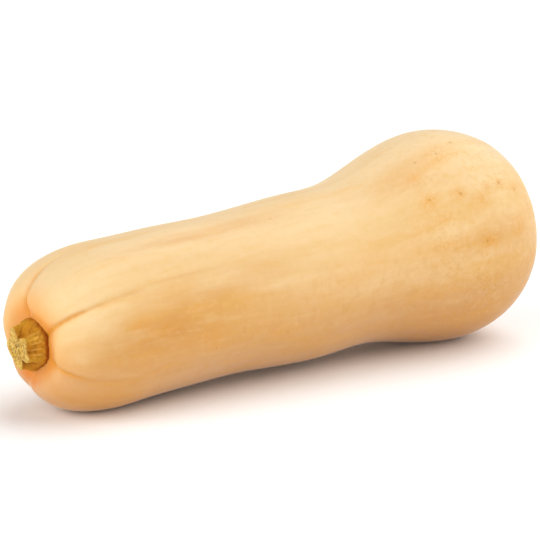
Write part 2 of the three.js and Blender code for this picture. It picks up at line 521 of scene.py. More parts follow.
class NodeSheet:
    """Lays out and joins the nodes of one material."""

    # Numbers of the sockets of a mix node that take and give colours.
    MIX_SHARE, MIX_UNDER, MIX_OVER, MIX_RESULT = 0, 6, 7, 2

    def __init__(self, name: str) -> None:
        """Starts a material with only its shader and output.

        Args:
            name: Name of the material.
        """
        self.material = bpy.data.materials.new(name)
        self.material.use_nodes = True
        self.nodes = self.material.node_tree.nodes
        self.links = self.material.node_tree.links
        self.nodes.clear()
        self.shader = self.nodes.new("ShaderNodeBsdfPrincipled")
        output = self.nodes.new("ShaderNodeOutputMaterial")
        self.links.new(self.shader.outputs["BSDF"], output.inputs["Surface"])

    def _feed(self, socket: Socket, value: Socket | float | Colour) -> None:
        """Links a socket to another, or sets its number or colour.

        Args:
            socket: The socket to feed.
            value: What it takes.
        """
        if isinstance(value, bpy.types.NodeSocket):
            self.links.new(value, socket)
        elif isinstance(value, tuple) and socket.type == "RGBA":
            socket.default_value = (*value, 1.0)
        else:
            socket.default_value = value

    def trait(self, name: str, output: str = "Fac") -> Socket:
        """What the mesh holds for each point under a name.

        Args:
            name: Name of the trait.
            output: Fac for a number, or Vector for a place.

        Returns:
            The number or place.
        """
        node = self.nodes.new("ShaderNodeAttribute")
        node.attribute_name = name
        return node.outputs[output]

    def place(self) -> Socket:
        """The point's place in the piece's own frame, in metres."""
        return self.nodes.new("ShaderNodeTexCoord").outputs["Object"]

    def _with_place(self, operation: str, place: Socket, other: Place) -> bpy.types.Node:
        """A node that works on a place and another one.

        Args:
            operation: Name of what it works out.
            place: The place.
            other: Three numbers to work on it with.

        Returns:
            The node.
        """
        node = self.nodes.new("ShaderNodeVectorMath")
        node.operation = operation
        self._feed(node.inputs[0], place)
        node.inputs[1].default_value = other
        return node

    def distance_to(self, place: Socket, point: Place) -> Socket:
        """Distance in metres from a place to a fixed point on the piece."""
        return self._with_place("DISTANCE", place, point).outputs["Value"]

    def along(self, place: Socket) -> Socket:
        """How far a place lies along the piece.

        Args:
            place: The place.

        Returns:
            Its first number.
        """
        node = self.nodes.new("ShaderNodeSeparateXYZ")
        self._feed(node.inputs[0], place)
        return node.outputs["X"]

    def cloud(self, place: Socket, cloud: Cloud) -> Socket:
        """Reads a cloud.

        Args:
            place: Where it is read.
            cloud: The cloud.

        Returns:
            A share around a half.
        """
        if cloud.along != 1.0:
            place = self._with_place("MULTIPLY", place, (cloud.along, 1.0, 1.0)).outputs["Vector"]
        node = self.nodes.new("ShaderNodeTexNoise")
        self._feed(node.inputs["Vector"], place)
        node.inputs["Scale"].default_value = cloud.scale
        node.inputs["Detail"].default_value = cloud.detail
        node.inputs["Roughness"].default_value = cloud.rough
        node.inputs["Distortion"].default_value = cloud.warp
        return node.outputs["Fac"]

    def span(
        self,
        value: Socket,
        low: float,
        high: float,
        to_low: float = 0.0,
        to_high: float = 1.0,
        ease: Ease = Ease.SMOOTH,
    ) -> Socket:
        """Takes a value from one range to another, and holds it inside.

        Args:
            value: The value to map.
            low: Value that gives to_low.
            high: Value that gives to_high.
            to_low: Result at low.
            to_high: Result at high.
            ease: How it goes from low to high.

        Returns:
            The mapped value.
        """
        node = self.nodes.new("ShaderNodeMapRange")
        node.interpolation_type = ease.value
        self._feed(node.inputs["Value"], value)
        ends = {"From Min": low, "From Max": high, "To Min": to_low, "To Max": to_high}
        for name, number in ends.items():
            node.inputs[name].default_value = number
        return node.outputs["Result"]

    def ramp(self, share: Socket, stops: tuple[tuple[float, Colour], ...]) -> Socket:
        """Reads a colour from a few that follow each other.

        Args:
            share: Where to read, from 0 to 1.
            stops: Place of each colour, from -1 to 1, and the colour.

        Returns:
            The colour.
        """
        node = self.nodes.new("ShaderNodeValToRGB")
        self._feed(node.inputs["Fac"], share)
        elements = node.color_ramp.elements
        while len(elements) < len(stops):
            elements.new(1.0)
        for element, (at, colour) in zip(elements, stops):
            element.position = (at + 1.0) / 2.0
            element.color = (*colour, 1.0)
        return node.outputs["Color"]

    def sum_up(self, kind: Sum, one: Socket | float, other: Socket | float) -> Socket:
        """Works out one number from two.

        Args:
            kind: What is worked out.
            one: First number.
            other: Second number.

        Returns:
            The result.
        """
        node = self.nodes.new("ShaderNodeMath")
        node.operation = kind.value
        self._feed(node.inputs[0], one)
        self._feed(node.inputs[1], other)
        return node.outputs["Value"]

    def times(self, *factors: Socket | float) -> Socket | float:
        """Multiplies several numbers.

        Args:
            *factors: The numbers.

        Returns:
            Their product.
        """
        product = factors[0]
        for factor in factors[1:]:
            product = self.sum_up(Sum.PRODUCT, product, factor)
        return product

    def mixed(self, share: Socket | float, under: Socket | Colour, over: Socket | Colour) -> Socket:
        """Lays one colour over another.

        Args:
            share: How much of the upper colour shows.
            under: Colour below.
            over: Colour on top.

        Returns:
            The mixed colour.
        """
        node = self.nodes.new("ShaderNodeMix")
        node.data_type = "RGBA"
        self._feed(node.inputs[self.MIX_SHARE], share)
        self._feed(node.inputs[self.MIX_UNDER], under)
        self._feed(node.inputs[self.MIX_OVER], over)
        return node.outputs[self.MIX_RESULT]

    def bump(self, height: Socket, depth: float, strength: float, under: Socket | None = None) -> Socket:
        """Fine relief that is too small for the mesh.

        Args:
            height: Relief from 0 to 1.
            depth: How high 1 stands, in metres.
            strength: How strongly it shows.
            under: Relief that it is laid over.

        Returns:
            The normal.
        """
        node = self.nodes.new("ShaderNodeBump")
        node.inputs["Strength"].default_value = strength
        node.inputs["Distance"].default_value = depth
        self._feed(node.inputs["Height"], height)
        if under is not None:
            self._feed(node.inputs["Normal"], under)
        return node.outputs["Normal"]

    def dress(self, colour: Socket, roughness: Socket, normal: Socket) -> None:
        """Joins colour, roughness and relief to the shader."""
        for name, value in (("Base Color", colour), ("Roughness", roughness), ("Normal", normal)):
            self._feed(self.shader.inputs[name], value)

    def set_even(self, values: tuple[tuple[str, float | tuple[float, ...]], ...]) -> None:
        """Sets numbers and colours that are the same all over the surface."""
        for name, value in values:
            self.shader.inputs[name].default_value = value


class Coats:
    """Colours laid one over another."""

    def __init__(self, sheet: NodeSheet, ground: Socket | Colour) -> None:
        """Starts with the ground colour on a material's nodes."""
        self.sheet = sheet
        self.colour = ground

    def lay(self, colour: Socket | Colour, *shares: Socket | float) -> None:
        """Lays a colour on, as strongly as the product of the shares."""
        self.colour = self.sheet.mixed(self.sheet.times(*shares), self.colour, colour)


# ---- Finishes ----
#
# A span is two values, with the two results between which it eases if those aren't 0 and 1.
# A relief is its height and how strongly it shows. Clouds with an along value are read along
# and round the piece, and the others in its own frame.


@dataclass(frozen=True)
class RindFinish:
    """Smooth waxy rind: cream above and tan below, partly painted light and shade, streaked along with
    pale streaks that are painted highlights, and orange in the furrows.

    Attributes:
        round_colours_and_shade: Height of each colour as the sine of its angle, and the colour.
        even: What is the same all over the surface.
    """

    # Paler above and darker below: partly the rind's own tone, partly painted light and shade.
    round_colours_and_shade: tuple[tuple[float, Colour], ...] = (
        (-0.92, paint(209, 163, 121)),
        (-0.5, paint(207, 158, 105)),
        (-0.15, paint(214, 163, 99)),
        (0.25, paint(226, 181, 118)),
        (0.7, paint(222, 186, 128)),
        (1.0, paint(219, 190, 144)),
    )
    # Browner under the bulb, partly painted shade.
    bulb_low_brown_and_shade: Colour = paint(186, 128, 68)
    # Pale cream, for pale patches and for painted highlights.
    honey: Colour = paint(217, 160, 52)
    milk_and_highlight: Colour = paint(233, 204, 154)
    tan: Colour = paint(206, 148, 76)
    orange: Colour = paint(221, 139, 36)
    groove: Colour = paint(208, 138, 22)
    rust: Colour = paint(196, 98, 34)
    # Dark red-brown of the painted contact shadow round the foot of the stem.
    painted_contact_shadow: Colour = paint(134, 54, 10)
    speck: Colour = paint(182, 124, 18)
    cork: Colour = paint(218, 146, 26)
    scar: Colour = paint(168, 116, 58)
    scar_core: Colour = paint(104, 70, 34)

    bulb_along: Span = (35 * MM, 90 * MM)
    streaks_from: Span = (15 * MM, 60 * MM)
    low_bulb: Span = (-0.95, -0.25, 1.0, 0.0)
    low_bulb_share: float = 0.7
    # Painted highlight: how much the pale coats show, more on the upper side.
    highlight_upwards: Span = (-0.8, 0.1, 0.35, 1.0)

    blotch_edges: Cloud = Cloud(6.0, 3.0, 0.6, along=7.0)
    blotch_breaks: Span = (0.3, 0.62, 0.72, 1.06)

    bands: Cloud = Cloud(2.4, 3.0, 0.5, 0.2, along=5.0)
    honey_bands: Span = (0.47, 0.72, 0.0, 0.28)
    highlight_bands: Span = (0.5, 0.28, 0.0, 0.28)
    streaks: Cloud = Cloud(8.5, 4.0, 0.62, 0.3, along=4.5)
    honey_streaks: Span = (0.5, 0.7, 0.0, 0.21)
    highlight_streaks: Span = (0.5, 0.32, 0.0, 0.16)

    mottle: Cloud = Cloud(330.0, 3.0, 0.62, 0.3)
    mottle_on_bulb: Span = (0.0, 1.0, 0.1, 0.24)
    mottle_below: Span = (-0.5, 0.6, 0.14, 0.0)
    highlight_mottle: Span = (0.5, 0.3)
    honey_mottle: Span = (0.5, 0.72)
    smears: Cloud = Cloud(7.0, 2.0, 0.5, 0.4, along=30.0)
    smears_below: Span = (-0.3, 0.7, 0.26, 0.0)
    tan_smears: Span = (0.48, 0.68)
    grains: Cloud = Cloud(760.0, 3.0, 0.6, 0.2)
    grain_zones: Cloud = Cloud(2.6, 2.0, 0.5, along=12.0)
    in_zone: Span = (0.44, 0.62)
    zone_share: float = 0.28
    brown_grains: Span = (0.5, 0.68)
    cork_grains: Span = (0.3, 0.62, 0.2, 1.0)
    cork_share: float = 0.62

    breaks: Cloud = Cloud(3.0, 2.0, along=60.0)
    line_breaks: Span = (0.3, 0.6, 0.55, 1.0)
    contact_shadow_breaks: Span = (0.35, 0.6, 0.25, 1.0)
    blush_share: float = 0.85
    line_share: float = 0.85

    speck_edges: Cloud = Cloud(700.0, 2.0)
    speck_raggedness: float = 0.6
    speck_fade: tuple[float, float] = (0.3, 1.7)
    speck_share: float = 0.5

    crust: Cloud = Cloud(900.0, 3.0, 0.6)
    crust_edge: Span = (0.3, 0.7, -0.22, 0.22)
    scar_reach: Span = (0.22, 0.4, 0.0, 0.9)
    scar_core_reach: Span = (0.62, 1.0, 0.0, 0.9)

    wax: Cloud = Cloud(60.0, 3.0)
    wax_roughness: Span = (0.3, 0.7, 0.48, 0.56)
    pores: Cloud = Cloud(420.0, 2.0, 0.6)
    pore_relief: Relief = (0.12 * MM, 0.25)
    pimples: Cloud = Cloud(560.0, 1.0, 0.5)
    pimple_relief: Relief = (0.3 * MM, 0.5)
    even: tuple[tuple[str, float | tuple[float, ...]], ...] = (
        ("Specular IOR Level", 0.32),
        ("Sheen Weight", 0.3),
        ("Sheen Roughness", 0.25),
        ("Subsurface Weight", 0.12),
        ("Subsurface Scale", 4 * MM),
        ("Subsurface Radius", (1.0, 0.5, 0.25)),
    )

    def make(self, specks: list[tuple[Place, float]]) -> bpy.types.Material:
        """Builds the material.

        Args:
            specks: Place and radius of each brown speck.

        Returns:
            The finished material.
        """
        coats = RindCoats(self)
        coats.blotch()
        coats.streak()
        coats.mottle()
        coats.blush()
        coats.speckle(specks)
        coats.scar()
        sheet, place = coats.sheet, coats.place
        roughness = sheet.span(sheet.cloud(place, self.wax), *self.wax_roughness)
        normal = sheet.bump(sheet.cloud(place, self.pores), *self.pore_relief)
        pimples = sheet.times(sheet.cloud(place, self.pimples), coats.on_bulb)
        normal = sheet.bump(pimples, *self.pimple_relief, normal)
        sheet.dress(coats.colour, roughness, normal)
        sheet.set_even(self.even)
        return sheet.material


class RindCoats(Coats):
    """The coats of the rind, in the order in which they are laid on."""

    def __init__(self, finish: RindFinish) -> None:
        """Lays the ground: cream above, tan below, and browner under the bulb, partly as painted light
        and shade.

        Args:
            finish: The colours, and how they are spread.
        """
        sheet = NodeSheet("waxy rind")
        self.finish = finish
        self.place = sheet.place()
        self.drawn = sheet.trait("grain_place", "Vector")
        self.upness = sheet.trait("upness")
        self.on_bulb = sheet.span(sheet.along(self.place), *finish.bulb_along)
        self.away = sheet.span(sheet.along(self.drawn), *finish.streaks_from)
        self.pale = sheet.span(self.upness, *finish.highlight_upwards)
        # Ground colour by height, partly painted light above and painted shade below.
        height = sheet.span(self.upness, -1.0, 1.0, ease=Ease.STRAIGHT)
        super().__init__(sheet, sheet.ramp(height, finish.round_colours_and_shade))
        # Browner under the bulb, partly painted shade.
        low = sheet.span(self.upness, *finish.low_bulb)
        self.lay(finish.bulb_low_brown_and_shade, self.on_bulb, low, finish.low_bulb_share)

    def blotch(self) -> None:
        """Adds the broad pale and tan blotches, with ragged edges."""
        finish, sheet = self.finish, self.sheet
        ragged = sheet.cloud(self.drawn, finish.blotch_edges)
        tones = (("tan_blotch_and_shade", finish.tan), ("milk_blotch_and_highlight", finish.milk_and_highlight), ("rust_blotch", finish.rust))
        for name, tone in tones:
            self.lay(tone, sheet.trait(name), sheet.span(ragged, *finish.blotch_breaks))

    def streak(self) -> None:
        """Adds broad bands and fine streaks that run along the fruit, away from its stem end; the pale
        ones are painted highlights, laid only on the upper side.
        """
        finish, sheet = self.finish, self.sheet
        # Painted highlights: the pale streaks show only on the upper side.
        lit = sheet.times(self.away, self.pale)
        for cloud, honey, milk_and_highlight in (
            (finish.bands, finish.honey_bands, finish.highlight_bands),
            (finish.streaks, finish.honey_streaks, finish.highlight_streaks),
        ):
            waves = sheet.cloud(self.drawn, cloud)
            self.lay(finish.honey, sheet.span(waves, *honey), self.away)
            self.lay(finish.milk_and_highlight, sheet.span(waves, *milk_and_highlight), lit)

    def mottle(self) -> None:
        """Adds the fine mottling, whose pale part is painted highlight on the upper side, and the ragged
        brown patches that are strongest on the bulb.
        """
        finish, sheet = self.finish, self.sheet
        soft = sheet.cloud(self.place, finish.mottle)
        amount = sheet.span(self.on_bulb, *finish.mottle_on_bulb, ease=Ease.STRAIGHT)
        self.lay(finish.milk_and_highlight, sheet.span(soft, *finish.highlight_mottle), sheet.times(amount, self.pale))
        below = sheet.times(self.away, sheet.span(self.upness, *finish.mottle_below))
        amount = sheet.sum_up(Sum.TOTAL, amount, below)
        self.lay(finish.honey, sheet.span(soft, *finish.honey_mottle), amount)
        smears = sheet.span(sheet.cloud(self.drawn, finish.smears), *finish.tan_smears)
        below = sheet.times(self.away, sheet.span(self.upness, *finish.smears_below))
        self.lay(finish.tan, smears, below)
        grains = sheet.cloud(self.place, finish.grains)
        zones = sheet.span(sheet.cloud(self.drawn, finish.grain_zones), *finish.in_zone)
        amount = sheet.times(zones, self.on_bulb, finish.zone_share)
        self.lay(finish.speck, sheet.span(grains, *finish.brown_grains), amount)
        crusty = sheet.span(grains, *finish.cork_grains)
        self.lay(finish.cork, sheet.trait("cork_blotch"), crusty, finish.cork_share)

    def blush(self) -> None:
        """Adds the orange of the furrows, and a painted contact shadow: the dark line round the foot of
        the stem.
        """
        finish, sheet = self.finish, self.sheet
        broken = sheet.cloud(self.drawn, finish.breaks)
        self.lay(finish.orange, sheet.trait("blush"), finish.blush_share)
        line = sheet.span(broken, *finish.line_breaks)
        self.lay(finish.groove, sheet.trait("furrow"), line, finish.line_share)
        # Painted contact shadow against the foot of the stem.
        self.lay(finish.painted_contact_shadow, sheet.trait("seat"), sheet.span(broken, *finish.contact_shadow_breaks))

    def speckle(self, specks: list[tuple[Place, float]]) -> None:
        """Adds the brown specks.

        Args:
            specks: Place and radius of each speck.
        """
        finish, sheet = self.finish, self.sheet
        ragged = sheet.cloud(self.place, finish.speck_edges)
        near, far = finish.speck_fade
        for point, radius in specks:
            uneven = sheet.times(ragged, finish.speck_raggedness * radius)
            distance = sheet.sum_up(Sum.TOTAL, sheet.distance_to(self.place, point), uneven)
            share = sheet.span(distance, near * radius, far * radius, 1.0, 0.0)
            self.lay(finish.speck, share, finish.speck_share)

    def scar(self) -> None:
        """Adds the corky scar of the blossom, with its darker core."""
        finish, sheet = self.finish, self.sheet
        crust = sheet.cloud(self.place, finish.crust)
        edge = sheet.span(crust, *finish.crust_edge, ease=Ease.STRAIGHT)
        ragged = sheet.sum_up(Sum.TOTAL, sheet.trait("blossom"), edge)
        self.lay(finish.scar, sheet.span(ragged, *finish.scar_reach))
        self.lay(finish.scar_core, sheet.span(ragged, *finish.scar_core_reach))


@dataclass(frozen=True)
class CorkFinish:
    """Dry corky stem: ochre sides, olive ribs, painted shade in the flutes and round the foot, and a
    fibrous cut end.

    Attributes:
        even: What is the same all over the surface.
    """

    ochre: Colour = paint(188, 126, 28)
    # Dark brown, for dark blotches and for painted shade in the flutes.
    dark: Colour = paint(124, 70, 8)
    straw: Colour = paint(224, 170, 78)
    olive: Colour = paint(200, 154, 48)
    # Rust brown, laid only as painted shade round the foot of the stem.
    rust: Colour = paint(142, 64, 6)
    cut_pale: Colour = paint(214, 178, 98)
    cut_tan: Colour = paint(172, 128, 52)
    pith: Colour = paint(96, 82, 48)

    fibres: Cloud = Cloud(9.0, 4.0, 0.65, along=60.0)
    straw_fibres: Span = (0.5, 0.72, 0.0, 0.35)
    fibre_relief: Relief = (0.3 * MM, 0.5)
    blotches: Cloud = Cloud(300.0, 4.0, 0.65)
    dark_blotches: Span = (0.4, 0.68, 0.0, 0.6)
    blotch_roughness: Span = (0.3, 0.7, 0.78, 0.92)
    blotch_relief: Relief = (0.4 * MM, 0.5)
    rib_share: float = 0.75
    raised_share: float = 0.6
    cut_patches: Cloud = Cloud(620.0, 3.0, 0.7)
    tan_patches: Span = (0.4, 0.64)
    olive_blotches: Span = (0.46, 0.7, 0.0, 0.7)
    pores: Cloud = Cloud(900.0, 2.0, 0.6)
    open_pores: Span = (0.46, 0.64)
    even: tuple[tuple[str, float], ...] = (("Specular IOR Level", 0.12),)

    def make(self) -> bpy.types.Material:
        """Builds the material.

        Returns:
            The finished material.
        """
        sheet = NodeSheet("dry corky stem")
        place = sheet.place()
        fibres = sheet.cloud(sheet.trait("grain_place", "Vector"), self.fibres)
        blotches = sheet.cloud(place, self.blotches)
        coats = self._side(sheet, fibres, blotches)
        coats.lay(self._cut(sheet, place, blotches), sheet.trait("cut"))
        normal = sheet.bump(blotches, *self.blotch_relief)
        normal = sheet.bump(fibres, *self.fibre_relief, normal)
        sheet.dress(coats.colour, sheet.span(blotches, *self.blotch_roughness), normal)
        sheet.set_even(self.even)
        return sheet.material

    def _side(self, sheet: NodeSheet, fibres: Socket, blotches: Socket) -> Coats:
        """Colours the side: ochre, painted shade in the flutes, olive on the ribs, pale on raised
        fibres, and painted shade round the foot.

        Args:
            sheet: The material's nodes.
            fibres: Cloud drawn out along the stem.
            blotches: Even cloud.

        Returns:
            The coats of the side.
        """
        coats = Coats(sheet, self.ochre)
        coats.lay(self.dark, sheet.span(blotches, *self.dark_blotches))
        # Painted shade in the flutes, strongest on their sheltered side.
        coats.lay(self.dark, sheet.trait("flute"))
        coats.lay(self.olive, sheet.trait("rib"), self.rib_share)
        coats.lay(self.straw, sheet.span(fibres, *self.straw_fibres))
        coats.lay(self.straw, sheet.trait("raised"), self.raised_share)
        # Painted shade in rust brown round the foot, where the stem meets the rind.
        coats.lay(self.rust, sheet.trait("foot"))
        return coats

    def _cut(self, sheet: NodeSheet, place: Socket, blotches: Socket) -> Socket:
        """Colours the cut end: straw with tan patches, and grey pores round the pith.

        Args:
            sheet: The material's nodes.
            place: The point's place.
            blotches: Even cloud.

        Returns:
            The colour.
        """
        coats = Coats(sheet, self.cut_pale)
        coats.lay(self.cut_tan, sheet.span(sheet.cloud(place, self.cut_patches), *self.tan_patches))
        coats.lay(self.olive, sheet.span(blotches, *self.olive_blotches))
        pores = sheet.span(sheet.cloud(place, self.pores), *self.open_pores)
        coats.lay(self.pith, pores, sheet.trait("pith"))
        return coats.colour


@dataclass(frozen=True)
class FloorFinish:
    """Plain matt white floor."""

    even: tuple[tuple[str, float | tuple[float, ...]], ...] = (
        ("Base Color", (0.95, 0.95, 0.95, 1.0)),
        ("Roughness", 0.9),
        ("Specular IOR Level", 0.1),
    )

    def make(self) -> bpy.types.Material:
        """Builds the material.

        Returns:
            The finished material.
        """
        sheet = NodeSheet("white floor")
        sheet.set_even(self.even)
        return sheet.material


# ---- Marks on the rind ----


@dataclass(frozen=True)
class Speck:
    """A brown corky speck on the rind: distance along the outline, angle in degrees, radius."""

    run: float
    angle: float
    radius: float


@dataclass(frozen=True)
class Blotch:
    """A broad patch of another tone on the rind.

    Attributes:
        run: Distance of its middle along the outline.
        angle: Angle of its middle in degrees.
        reach: Half its length.
        width: Half its width in degrees.
        share: How strong it is in the middle.
    """

    run: float
    angle: float
    reach: float
    width: float
    share: float

    def amount(self, run: Array, angle: Array) -> Array:
        """How strong it is at each point.

        Args:
            run: Distances along the outline.
            angle: Angles round the axis, in radians.

        Returns:
            The strengths.
        """
        turned = np.degrees(turn_between(angle, math.radians(self.angle)))
        return self.share * bell(run - self.run, self.reach) * bell(turned, self.width)


def blotches_from(*rows: tuple[float, float, float, float, float]) -> tuple[Blotch, ...]:
    """Blotches from rows of their sizes in millimetres and degrees."""
    return tuple(Blotch(run * MM, angle, reach * MM, *others) for run, angle, reach, *others in rows)


# Distance and radius of each speck in millimetres, with its angle between them.
SPECKS = tuple(
    Speck(run * MM, angle, radius * MM)
    for run, angle, radius in (
        (260, 71, 1.1),
        (248, 67, 0.9),
        (236, 68, 0.9),
        (268, 37, 1.0),
        (245, 38, 0.9),
        (229, 41, 0.8),
        (278, 32, 0.8),
        (251, 9, 0.9),
        (149, 66, 0.6),
        (101, -20, 0.5),
        (115, -12, 0.5),
        (140, -20, 0.6),
        (244, 138, 0.9),
        (258, 152, 0.8),
        (232, 171, 1.0),
        (120, 160, 0.6),
        (262, 214, 0.9),
    )
)
BLOTCHES = {
    "rust_blotch": blotches_from(
        (15, -113, 6, 26, 1.1),
        (14, 200, 5, 20, 0.5),
    ),
    "cork_blotch": blotches_from(
        (229, 40, 5, 5, 1.0),
        (244, 38, 4, 4, 1.0),
        (229, 58, 4, 4, 0.7),
        (254, 31, 5, 4, 0.8),
        (268, 37, 2.5, 3, 1.0),
        (260, 37, 2.2, 2.5, 0.8),
        (278, 32, 2.5, 3, 0.8),
        (253, 9, 6, 4, 0.9),
        (233, 12, 12, 3, 0.6),
        (230, 27, 8, 4, 0.5),
        (272, 12, 7, 6, 0.7),
        (262, -4, 12, 8, 0.35),
        (250, 66, 12, 8, 0.4),
        (60, 12, 7, 4, 0.6),
        (72, 4, 8, 3.5, 0.6),
        (90, 14, 6, 3, 0.4),
        (99, -9, 8, 6, 0.5),
        (139, -18, 8, 5, 0.5),
        (100, -19, 6, 5, 0.4),
        (243, 140, 7, 6, 0.9),
        (256, 156, 5, 5, 0.8),
        (232, 172, 9, 5, 0.7),
        (268, 196, 7, 7, 0.6),
        (120, 162, 9, 6, 0.5),
        (248, 236, 8, 6, 0.6),
    ),
    "tan_blotch_and_shade": blotches_from(
        (24, 140, 18, 38, 0.42),
        (112, 66, 34, 2.6, 0.26),
        (88, 37, 26, 1.4, 0.3),
        (61, 34, 5, 1.6, 0.6),
        (35, 32, 3, 2.2, 0.8),
        # Painted shade along the furrow on top, near the stem end.
        (30, 90.5, 9, 2.0, 0.6),
        (38, -82, 14, 14, 0.5),
        (132, 52, 34, 24, 0.2),
        (48, -33, 12, 11, 0.35),
        (27, -57, 11, 15, 0.35),
        (131, 69, 18, 6, 0.3),
        (66, 57, 20, 6, 0.3),
        (72, -2, 34, 15, 0.95),
        (50, -50, 26, 18, 0.85),
        (118, 23, 34, 17, 0.4),
        (102, 70, 32, 7, 0.35),
        (60, -27, 22, 11, 0.4),
        (78, 14, 36, 15, 0.34),
        (240, 68, 24, 8, 0.4),
        (248, 48, 14, 8, 0.25),
        (256, 12, 24, 6, 0.45),
        (236, -36, 38, 11, 0.6),
        (224, 57, 22, 12, 0.45),
        (95, 205, 40, 18, 0.6),
        (235, 165, 32, 14, 0.5),
        (150, 130, 45, 9, 0.4),
    ),
    # Pale patches; the ones on the upper lobes by the stem and on top of the bulb are painted
    # highlights.
    "milk_blotch_and_highlight": blotches_from(
        (40, 43, 19, 17, 0.8),
        (49, 27, 14, 5, 0.4),
        (138, 16, 15, 4, 0.45),
        (236, 19, 9, 4.5, 0.55),
        (38, 18, 13, 11, 0.6),
        (84, 57, 48, 6, 0.5),
        (268, 27, 13, 12, 0.5),
        (38, 36, 8, 6, 0.4),
        (33, -3, 6, 7, 0.4),
        (262, 58, 27, 24, 0.7),
        (246, -2, 48, 8, 0.45),
        (168, 35, 42, 34, 0.3),
        (42, 130, 18, 24, 0.7),
        (190, 150, 50, 16, 0.45),
        (130, 250, 60, 14, 0.35),
    ),
}


# ---- The two pieces ----


